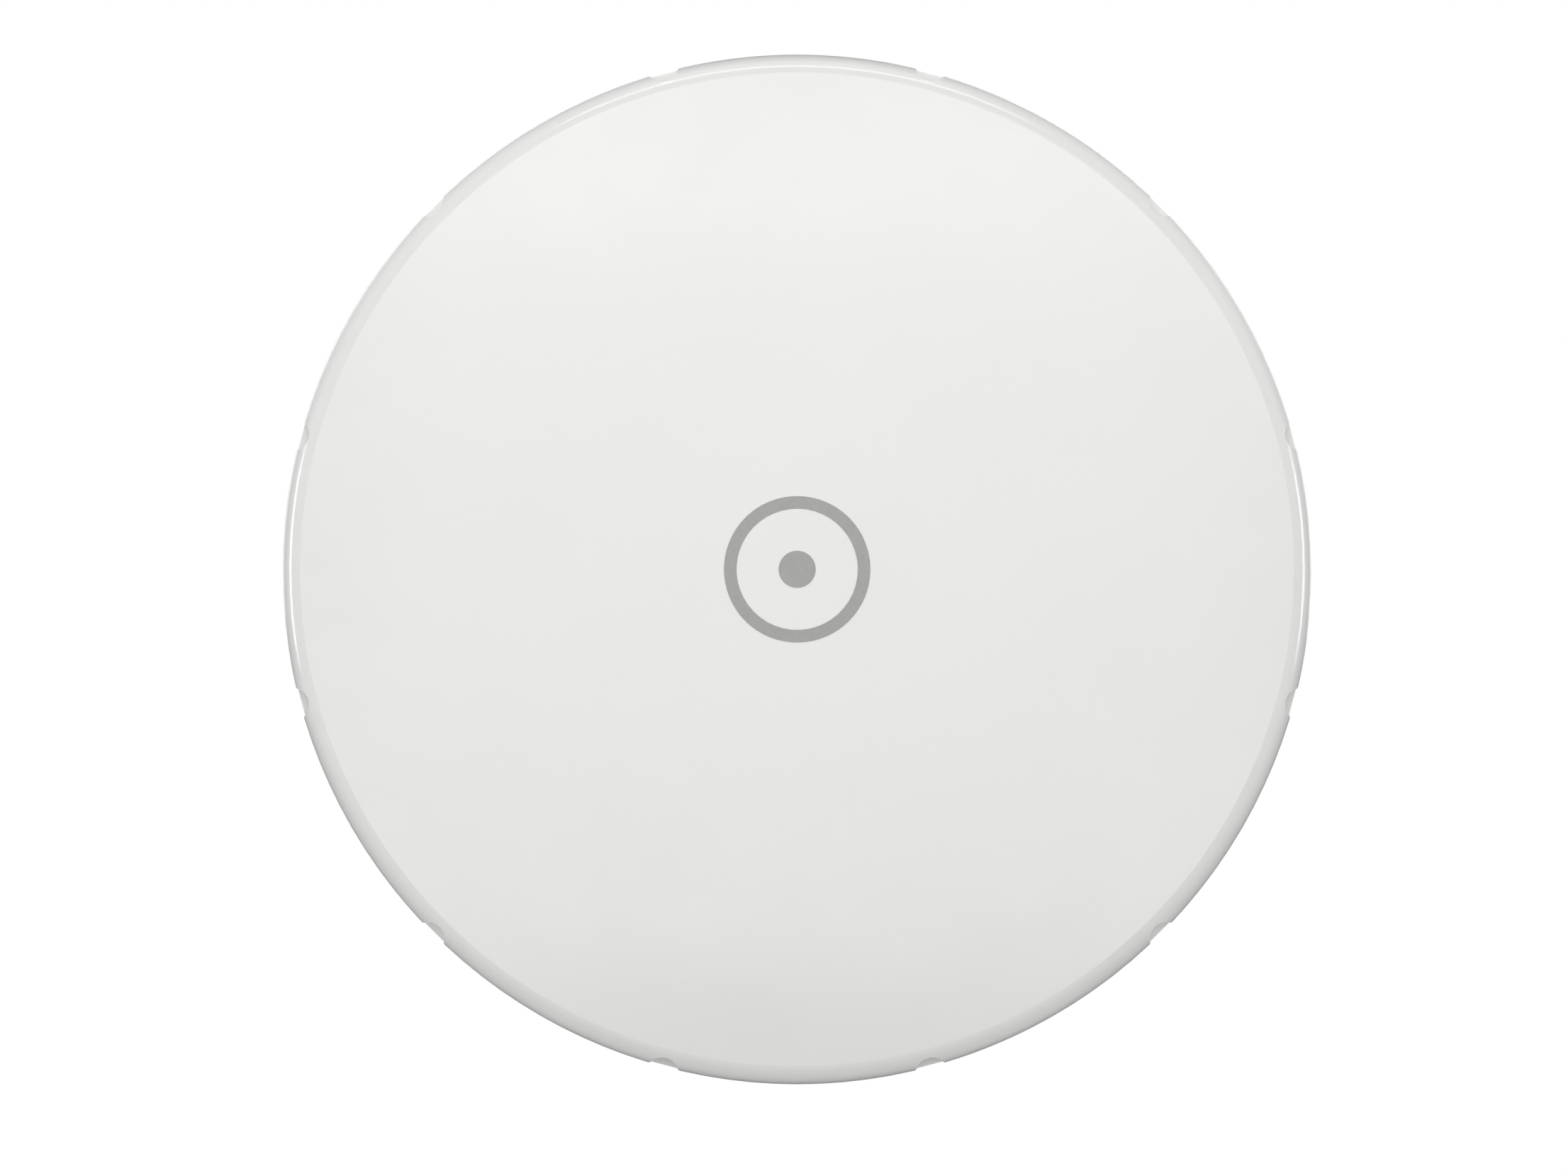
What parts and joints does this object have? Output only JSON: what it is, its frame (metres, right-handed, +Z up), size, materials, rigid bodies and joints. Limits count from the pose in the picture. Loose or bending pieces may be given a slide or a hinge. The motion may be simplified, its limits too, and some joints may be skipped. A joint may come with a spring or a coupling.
{
  "type": "outdoor wireless bridge",
  "caption": "Round dish radio with a domed white cover, rear electronics box with a hinged cable door, and a tilting bracket that straps to a mast.",
  "frame": {"origin": "on the mast's axis, midway between the two band clamps", "axes": "+Z up along the mast, -Y is where the dish points (boresight), +X to the right when seen from the front"},
  "size_m": [0.19, 0.1672, 0.19],
  "materials": {
    "radome_plastic": "fine satin grain, white",
    "housing_plastic": "fine matt grain, white",
    "door_plastic": "fine matt grain, white",
    "mark_ink": "smooth, light grey",
    "seal_rubber": "matt black",
    "foam_seal": "open foam, dark grey",
    "grommet_rubber": "matt, near black",
    "reflector_aluminium": "spun, faint rings",
    "feed_aluminium": "turned",
    "feed_plastic": "natural, waxy",
    "circuit_board": "green solder mask",
    "radio_ceramic": "dark laminate",
    "shield_can": "tinned sheet",
    "chip_epoxy": "black moulded",
    "thermal_silicone": "soft, pale blue-grey",
    "spreader_aluminium": "extruded",
    "transformer_black": "black moulded",
    "inductor_ferrite": "grey ferrite",
    "guard_ceramic": "glazed ceramic",
    "capacitor_can": "sleeved can",
    "led_resin": "clear-white resin",
    "jack_shell": "tinned shell",
    "contact_gold": "gilt",
    "switch_black": "black",
    "button_plastic": "red",
    "clear_acrylic": "clear moulding",
    "stainless_screw": "stainless",
    "insert_brass": "knurled",
    "bracket_paint": "white-grey powder coat",
    "zinc_bolt": "zinc plated",
    "band_steel": "stainless strip",
    "worm_steel": "zinc plated"
  },
  "bodies": {
    "mast_mount": {"mast_bracket": "bracket_paint", "pivot_bolt": "zinc_bolt", "pivot_spacer": "zinc_bolt", "pivot_washers": "zinc_bolt", "pivot_nut": "zinc_bolt", "lock_bolt": "zinc_bolt", "lock_spacer": "zinc_bolt", "lock_washers": "zinc_bolt", "lock_nut": "zinc_bolt", "upper_clamp_band": "band_steel", "upper_clamp_housing": "band_steel", "lower_clamp_band": "band_steel", "lower_clamp_housing": "band_steel"},
    "head": {"radome_cover": "radome_plastic", "boresight_mark": "mark_ink", "radome_gasket": "seal_rubber", "rear_housing": "housing_plastic", "cover_gasket": "seal_rubber", "dish_reflector": "reflector_aluminium", "reflector_screws": "stainless_screw", "feed_tube": "feed_aluminium", "feed_cone": "feed_plastic", "subreflector": "feed_aluminium", "main_board": "circuit_board", "radio_module": "radio_ceramic", "radio_shield": "shield_can", "processor": "chip_epoxy", "thermal_pad": "thermal_silicone", "heat_spreader": "spreader_aluminium", "memory_chips": "chip_epoxy", "line_transformer": "transformer_black", "power_inductor": "inductor_ferrite", "surge_protectors": "guard_ceramic", "capacitors": "capacitor_can", "status_leds": "led_resin", "ethernet_jack": "jack_shell", "jack_contacts": "contact_gold", "reset_switch": "switch_black", "light_pipe": "clear_acrylic", "electronics_cover": "housing_plastic", "cover_screws": "stainless_screw", "board_screws": "stainless_screw", "bracket_inserts": "insert_brass", "cable_grommet": "grommet_rubber", "ground_washer": "stainless_screw", "ground_screw": "stainless_screw", "door_hinge_pin": "stainless_screw", "tilt_bracket": "bracket_paint", "bracket_screws": "stainless_screw"},
    "door": {"service_door": "door_plastic", "door_seal": "foam_seal"},
    "reset_button": {"reset_plunger": "button_plastic"},
    "upper_worm": {"upper_clamp_screw": "worm_steel"},
    "lower_worm": {"lower_clamp_screw": "worm_steel"}
  },
  "joints": [
    {"name": "elevation_tilt", "type": "hinge", "parent": "mast_mount", "child": "head", "pos_m": [0, -0.045, 0.011], "axis": [1, 0, 0], "range_deg": [-20, 20]},
    {"name": "service_door_hinge", "type": "hinge", "parent": "head", "child": "door", "pos_m": [0, -0.0623, -0.045], "axis": [1, 0, 0], "range_deg": [0, 80]},
    {"name": "reset_press", "type": "slide", "parent": "head", "child": "reset_button", "axis": [0, -1, 0], "range_m": [0, 0.0005], "stiffness_N_per_m": 2000},
    {"name": "upper_worm_turn", "type": "hinge", "parent": "mast_mount", "child": "upper_worm", "pos_m": [0, 0.0266, 0.02], "axis": [1, 0, 0], "continuous": true},
    {"name": "lower_worm_turn", "type": "hinge", "parent": "mast_mount", "child": "lower_worm", "pos_m": [0, 0.0266, -0.02], "axis": [1, 0, 0], "continuous": true}
  ]
}
